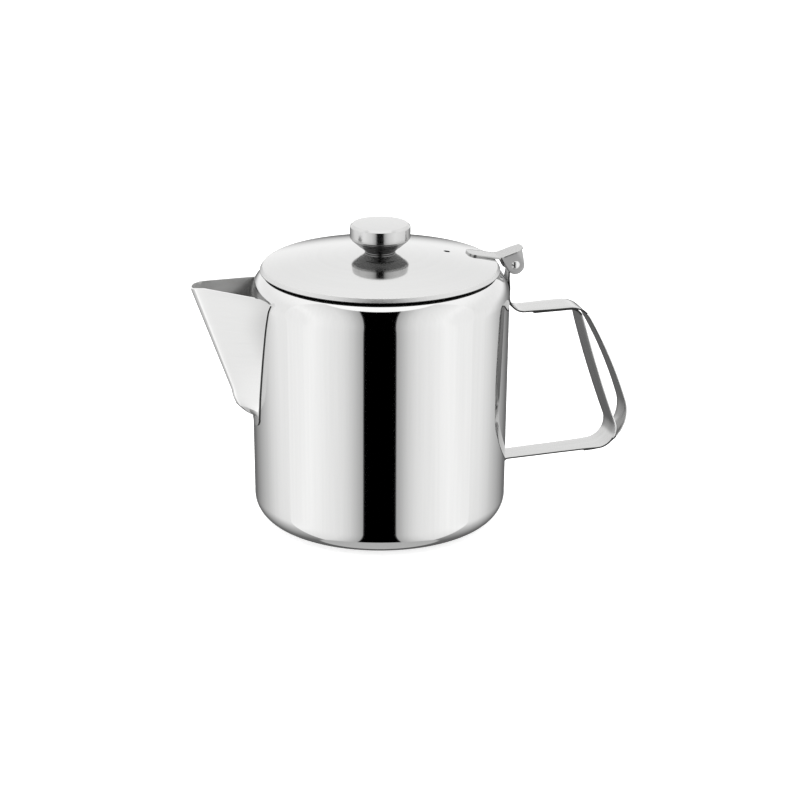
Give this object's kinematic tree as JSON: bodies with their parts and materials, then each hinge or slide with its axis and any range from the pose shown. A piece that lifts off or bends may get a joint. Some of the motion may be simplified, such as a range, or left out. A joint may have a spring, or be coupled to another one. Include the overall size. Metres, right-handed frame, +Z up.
{
  "type": "teapot",
  "caption": "Stainless steel teapot with an open V spout, a double-strap handle and a hinged domed lid with a round knob.",
  "frame": {"origin": "centre of the base on the body's axis, at the level that the pot stands on", "axes": "+Z up along the body's axis, +X towards the handle, -X towards the spout"},
  "size_m": [0.2138, 0.122, 0.1437],
  "materials": {
    "polished_steel": "mirror-polished stainless steel",
    "lid_steel": "polished stainless steel",
    "satin_steel": "satin stainless steel strap, brushed along its length",
    "bracket_steel": "lightly brushed stainless steel",
    "pin_steel": "bright rivet steel",
    "knob_steel": "turned and brushed stainless steel",
    "fastener_steel": "plain stainless fastener"
  },
  "bodies": {
    "pot": {"body_shell": "polished_steel", "spout": "polished_steel", "handle_outer_strap": "satin_steel", "handle_inner_strap": "satin_steel"},
    "lid": {"lid": "lid_steel", "hinge_bracket": "bracket_steel", "hinge_pin": "pin_steel", "knob_cap": "knob_steel", "knob_base": "knob_steel", "knob_washer": "fastener_steel", "knob_screw": "fastener_steel"}
  },
  "joints": [
    {"name": "lid_hinge", "type": "hinge", "parent": "pot", "child": "lid", "pos_m": [0.065, 0, 0.1203], "axis": [0, 1, 0], "range_deg": [0, 110]}
  ]
}
